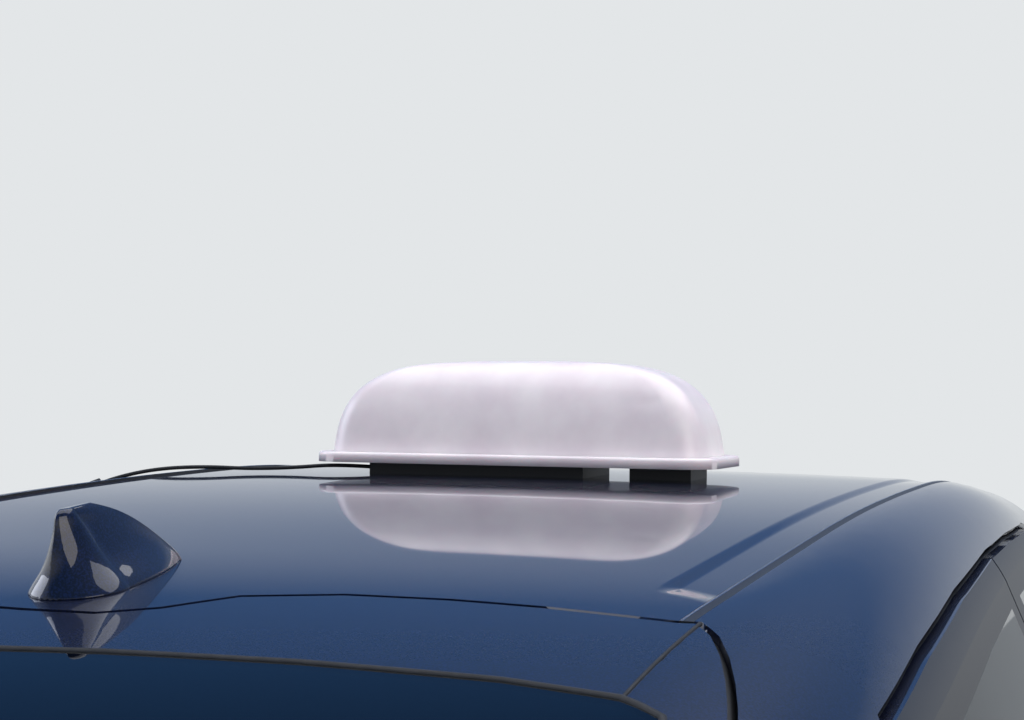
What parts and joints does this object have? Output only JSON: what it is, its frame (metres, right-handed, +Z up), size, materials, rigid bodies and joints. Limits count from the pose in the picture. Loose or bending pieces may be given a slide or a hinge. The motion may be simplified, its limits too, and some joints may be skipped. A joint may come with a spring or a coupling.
{
  "type": "taxi cab",
  "caption": "Family liftback taxi cab in dark blue with a blank roof sign, a fin aerial, opening doors, bonnet and tailgate, and steered front wheels.",
  "frame": {"origin": "on the ground under the middle of the car's length and width", "axes": "+Y to the car's front, +X to its right side, +Z up"},
  "size_m": [2.08, 4.65, 1.6033],
  "materials": {
    "paint": "gloss",
    "dark_trim": "satin",
    "bright_trim": "satin",
    "glass": "gloss",
    "lamp_clear": "gloss",
    "lamp_red": "gloss",
    "tyre": "matte",
    "alloy": "satin",
    "steel": "satin",
    "iron": "matte",
    "rubber": "matte",
    "cabin_plastic": "matte",
    "seat_cloth": "matte",
    "sign_white": "gloss",
    "plate": "satin"
  },
  "bodies": {
    "car_body": {"body_shell": "paint", "roof_panel": "paint", "roof_mouldings": "bright_trim", "windscreen": "glass", "headlamps": "lamp_clear", "tail_lamps": "lamp_red", "front_bumper": "paint", "rear_bumper": "paint", "grilles": "dark_trim", "number_plates": "plate", "suspension_arms": "steel", "rear_axle": "steel", "engine_block": "iron", "exhaust": "steel", "dashboard": "cabin_plastic", "steering_wheel": "cabin_plastic", "front_seats": "seat_cloth", "rear_seat": "seat_cloth", "load_cover": "cabin_plastic", "wipers": "rubber", "sign_shell": "sign_white", "sign_rim": "sign_white", "sign_feet": "rubber", "sign_lead": "rubber", "aerial": "paint", "buffers": "rubber"},
    "door_front_left_body": {"door_front_left": "paint", "door_glass_front_left": "glass", "mirror_left": "paint"},
    "door_rear_left_body": {"door_rear_left": "paint", "door_glass_rear_left": "glass"},
    "steer_left_body": {"knuckle_left": "steel"},
    "front_wheel_left_body": {"tyre_front_left": "tyre", "wheel_front_left": "alloy"},
    "rear_wheel_left_body": {"tyre_rear_left": "tyre", "wheel_rear_left": "alloy"},
    "door_front_right_body": {"door_front_right": "paint", "door_glass_front_right": "glass", "mirror_right": "paint"},
    "door_rear_right_body": {"door_rear_right": "paint", "door_glass_rear_right": "glass"},
    "steer_right_body": {"knuckle_right": "steel"},
    "front_wheel_right_body": {"tyre_front_right": "tyre", "wheel_front_right": "alloy"},
    "rear_wheel_right_body": {"tyre_rear_right": "tyre", "wheel_rear_right": "alloy"},
    "bonnet_body": {"bonnet": "paint"},
    "tailgate_body": {"tailgate": "paint", "tailgate_glass": "glass"}
  },
  "joints": [
    {"name": "door_front_left", "type": "hinge", "parent": "car_body", "child": "door_front_left_body", "pos_m": [-0.9045, 0.9, 0.7], "axis": [0, 0, -1], "range_deg": [0, 66]},
    {"name": "door_rear_left", "type": "hinge", "parent": "car_body", "child": "door_rear_left_body", "pos_m": [-0.9045, -0.168, 0.7], "axis": [0, 0, -1], "range_deg": [0, 64]},
    {"name": "steer_left", "type": "hinge", "parent": "car_body", "child": "steer_left_body", "pos_m": [-0.735, 1.395, 0.316], "axis": [0, 0, 1], "range_deg": [-32, 32]},
    {"name": "front_wheel_left", "type": "hinge", "parent": "steer_left_body", "child": "front_wheel_left_body", "pos_m": [-0.77, 1.395, 0.316], "axis": [1, 0, 0], "continuous": true},
    {"name": "rear_wheel_left", "type": "hinge", "parent": "car_body", "child": "rear_wheel_left_body", "pos_m": [-0.77, -1.295, 0.316], "axis": [1, 0, 0], "continuous": true},
    {"name": "door_front_right", "type": "hinge", "parent": "car_body", "child": "door_front_right_body", "pos_m": [0.9045, 0.9, 0.7], "axis": [0, 0, 1], "range_deg": [0, 66]},
    {"name": "door_rear_right", "type": "hinge", "parent": "car_body", "child": "door_rear_right_body", "pos_m": [0.9045, -0.168, 0.7], "axis": [0, 0, 1], "range_deg": [0, 64]},
    {"name": "steer_right", "type": "hinge", "parent": "car_body", "child": "steer_right_body", "pos_m": [0.735, 1.395, 0.316], "axis": [0, 0, 1], "range_deg": [-32, 32]},
    {"name": "front_wheel_right", "type": "hinge", "parent": "steer_right_body", "child": "front_wheel_right_body", "pos_m": [0.77, 1.395, 0.316], "axis": [1, 0, 0], "continuous": true},
    {"name": "rear_wheel_right", "type": "hinge", "parent": "car_body", "child": "rear_wheel_right_body", "pos_m": [0.77, -1.295, 0.316], "axis": [1, 0, 0], "continuous": true},
    {"name": "bonnet", "type": "hinge", "parent": "car_body", "child": "bonnet_body", "pos_m": [0, 1.258, 0.995], "axis": [1, 0, 0], "range_deg": [0, 50]},
    {"name": "tailgate", "type": "hinge", "parent": "car_body", "child": "tailgate_body", "pos_m": [0, -0.897, 1.413], "axis": [-1, 0, 0], "range_deg": [0, 72]}
  ],
  "couplings": [
    {"joint": "steer_right", "follows": "steer_left", "ratio": 1}
  ]
}
